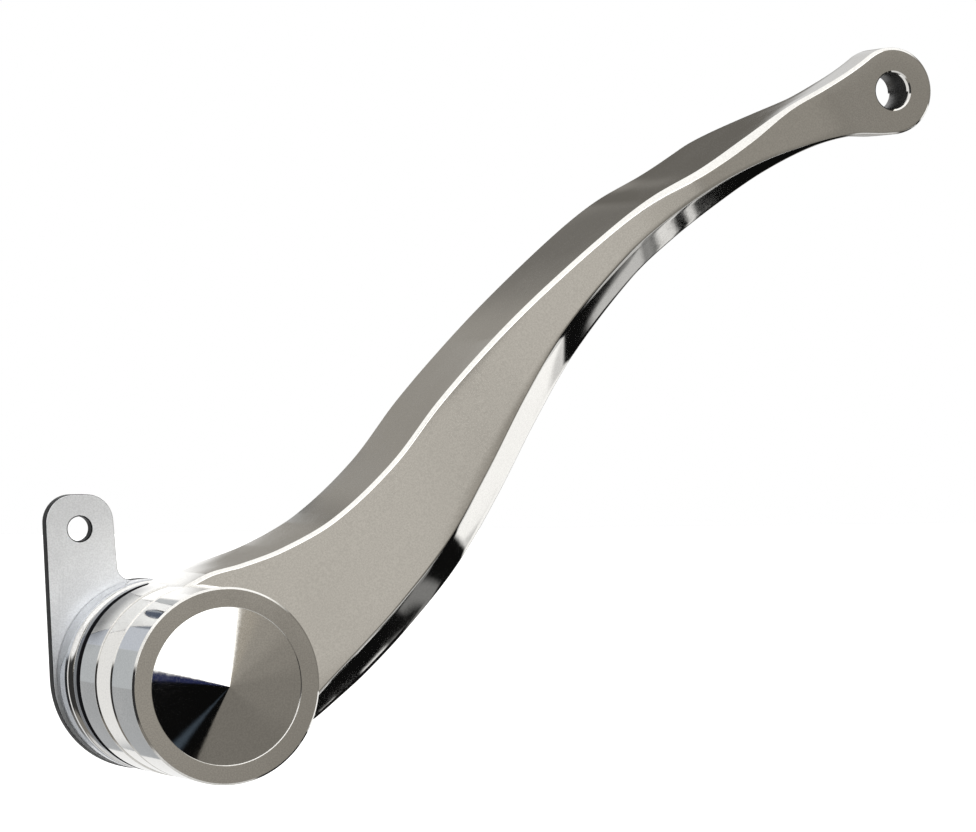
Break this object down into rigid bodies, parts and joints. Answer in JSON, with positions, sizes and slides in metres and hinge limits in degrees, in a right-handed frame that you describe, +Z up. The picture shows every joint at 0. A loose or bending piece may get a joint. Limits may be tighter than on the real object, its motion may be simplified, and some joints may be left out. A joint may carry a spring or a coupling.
{
  "type": "motorbike rear brake pedal",
  "caption": "Chromed billet rear brake pedal arm with an S-shaped blade, a capped pivot hub, a master cylinder lever tab and a tapped eye for the foot pad.",
  "frame": {"origin": "pivot axis, in the middle plane of the arm at the hub", "axes": "+Y along the pivot axis to the back, where the pivot shaft enters; -Y is the outer face with the cap; +Z up; +X forward, toward the pad eye"},
  "size_m": [0.2356, 0.0678, 0.1917],
  "materials": {
    "arm_chrome": "polished",
    "cap_chrome": "polished",
    "trim_chrome": "polished",
    "collar_chrome": "polished",
    "lever_steel": "satin",
    "bronze": "satin",
    "washer_steel": "satin",
    "seal_rubber": "matte",
    "screw_steel": "satin",
    "pin_steel": "ground"
  },
  "bodies": {
    "root": {"pedal_arm": "arm_chrome", "hub_cap": "cap_chrome", "cap_seal": "seal_rubber", "front_bush": "bronze", "rear_bush": "bronze", "thrust_washer": "washer_steel", "trim_ring": "trim_chrome", "lever_collar": "collar_chrome", "lever_plate": "lever_steel", "lever_screws": "screw_steel", "drive_pins": "pin_steel"}
  },
  "joints": []
}
